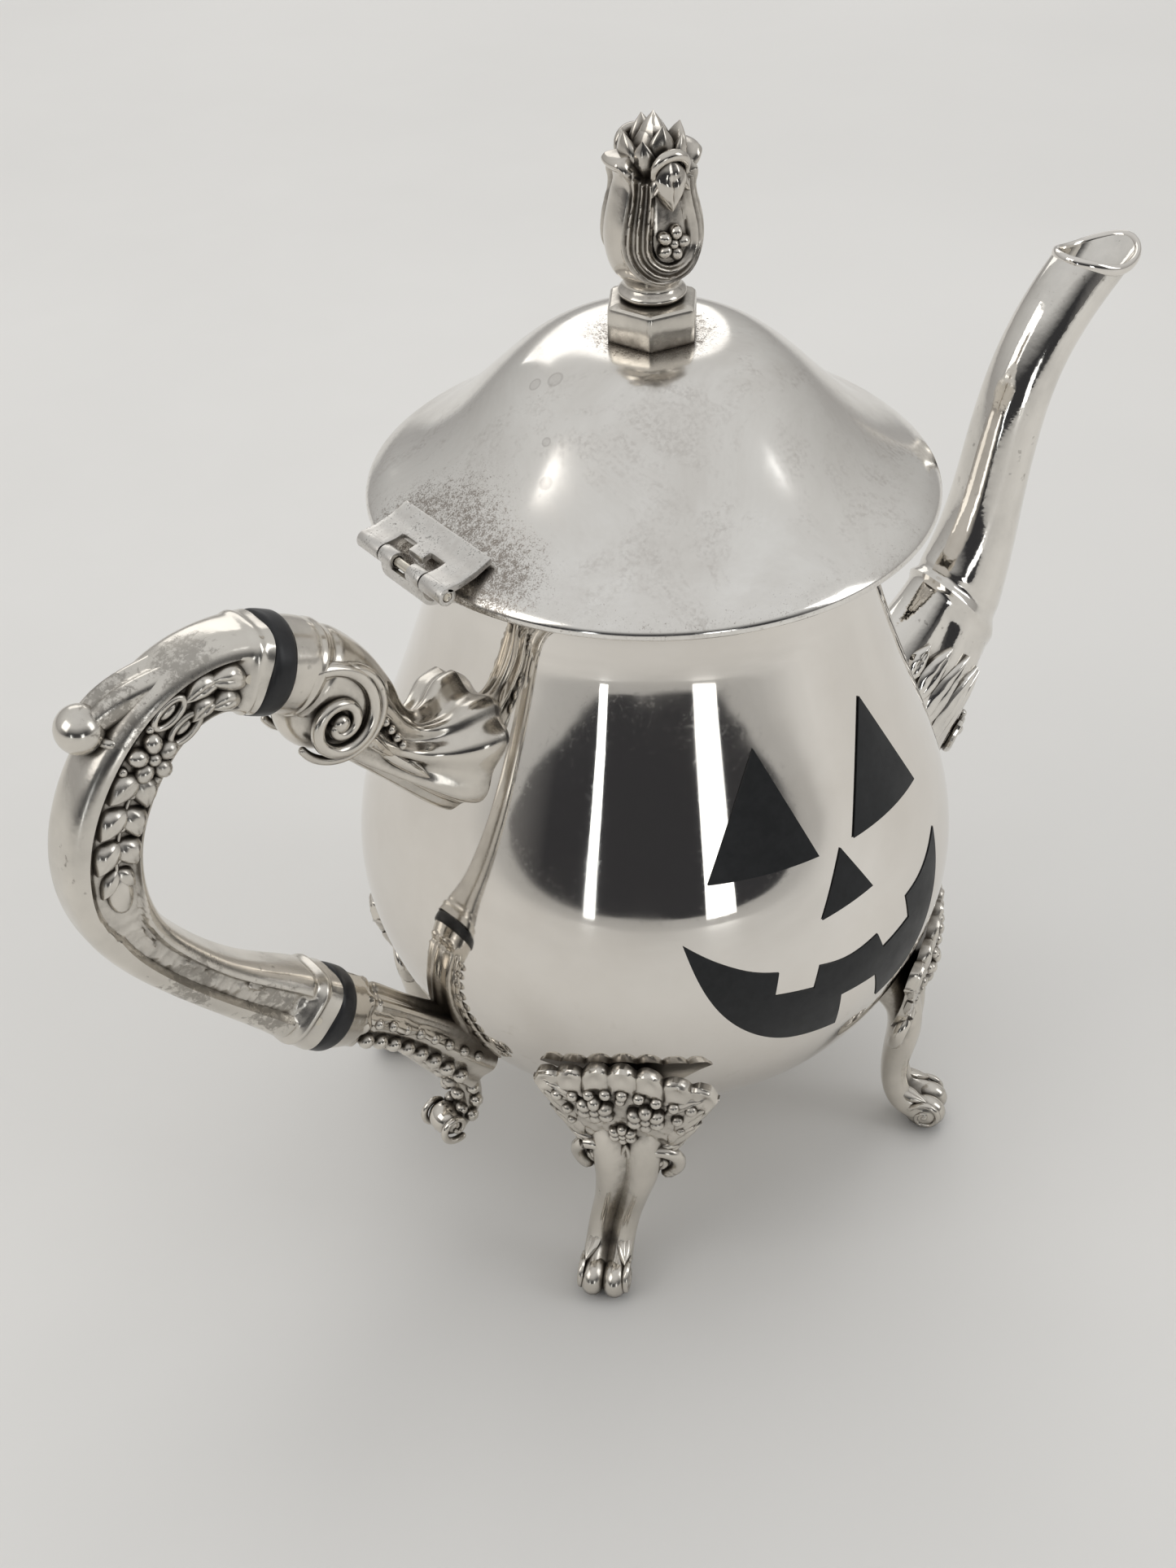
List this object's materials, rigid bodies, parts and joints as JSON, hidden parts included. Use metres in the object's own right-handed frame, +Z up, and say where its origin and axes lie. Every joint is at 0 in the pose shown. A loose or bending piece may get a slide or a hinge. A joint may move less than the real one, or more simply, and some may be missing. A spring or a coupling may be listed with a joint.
{
  "type": "coffee pot",
  "caption": "Silver-plated coffee pot: pear-shaped body, hinged bell lid with bud finial, swan-neck spout, scroll handle with heat-break rings, cast feet and a jack-o'-lantern sticker face.",
  "frame": {"origin": "on the surface the pot stands on, under the middle of its overall length and width", "axes": "+Z up, +X towards the spout, -X towards the handle, stickers on the -Y side"},
  "size_m": [0.2684, 0.1259, 0.2347],
  "materials": {
    "polished_silver": "mirror-polished silver plate with light tarnish",
    "cast_silver": "polished cast silver plate with dark recesses",
    "dull_silver": "dull speckled silver plate",
    "hardware": "plain plated brass",
    "black_ring": "satin black",
    "black_vinyl": "matte black film"
  },
  "bodies": {
    "pot": {"body_shell": "polished_silver", "spout_left_half": "polished_silver", "spout_right_half": "polished_silver", "spout_lip": "polished_silver", "mouth_ring": "polished_silver", "foot_front_handle_side": "cast_silver", "foot_front_spout_side": "cast_silver", "foot_rear_handle_side": "cast_silver", "foot_rear_spout_side": "cast_silver", "upper_handle_socket": "cast_silver", "lower_handle_socket": "cast_silver", "handle_grip": "cast_silver", "hinge_body_leaf": "dull_silver", "upper_insulator_pins": "hardware", "lower_insulator_pins": "hardware", "upper_insulator": "black_ring", "lower_insulator": "black_ring", "face_left_eye": "black_vinyl", "face_right_eye": "black_vinyl", "face_nose": "black_vinyl", "face_mouth": "black_vinyl"},
    "lid": {"lid_shell": "polished_silver", "lid_bezel": "polished_silver", "hinge_lid_leaf": "dull_silver", "hinge_pin": "hardware", "finial_base_ring": "cast_silver", "finial_collar": "cast_silver", "finial_bud": "cast_silver", "finial_stud": "hardware", "finial_washer": "hardware", "finial_nut": "hardware"}
  },
  "joints": [
    {"name": "lid_hinge", "type": "hinge", "parent": "pot", "child": "lid", "pos_m": [-0.0595, 0, 0.1652], "axis": [0, -1, 0], "range_deg": [0, 100]}
  ]
}
